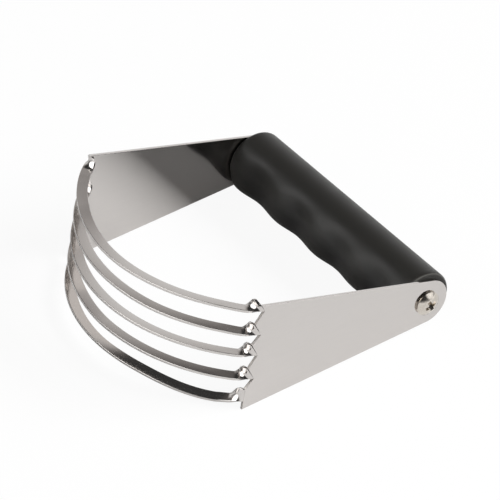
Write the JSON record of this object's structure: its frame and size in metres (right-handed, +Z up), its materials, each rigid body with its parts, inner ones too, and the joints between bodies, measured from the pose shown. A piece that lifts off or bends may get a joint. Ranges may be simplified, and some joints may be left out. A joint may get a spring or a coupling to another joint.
{
  "type": "pastry blender",
  "caption": "Hand tool that cuts fat into flour: curved steel blades between wedge-shaped cheek plates, with a soft finger-grooved grip screwed across their narrow ends.",
  "frame": {"origin": "middle of the underside of the bounding box, as the tool lies on a table", "axes": "+Z up; X along the grip, +X towards the cheek plate nearer the camera; -Y towards the blades, +Y towards the back of the grip"},
  "size_m": [0.1056, 0.1114, 0.0434],
  "materials": {
    "sheet_steel": "polished",
    "core_plastic": "matte",
    "grip_rubber": "satin",
    "insert_brass": "satin",
    "screw_nickel": "polished"
  },
  "bodies": {
    "frame": {"right_cheek_plate": "sheet_steel", "left_cheek_plate": "sheet_steel", "blade_1": "sheet_steel", "blade_2": "sheet_steel", "blade_3": "sheet_steel", "blade_4": "sheet_steel", "blade_5": "sheet_steel"},
    "handle": {"handle_core": "core_plastic", "soft_grip": "grip_rubber", "right_insert": "insert_brass", "left_insert": "insert_brass", "right_screw": "screw_nickel", "left_screw": "screw_nickel"}
  },
  "joints": [
    {"name": "handle_turn", "type": "hinge", "parent": "frame", "child": "handle", "pos_m": [0, 0.04527, 0.01074], "axis": [1, 0, 0], "continuous": true}
  ]
}
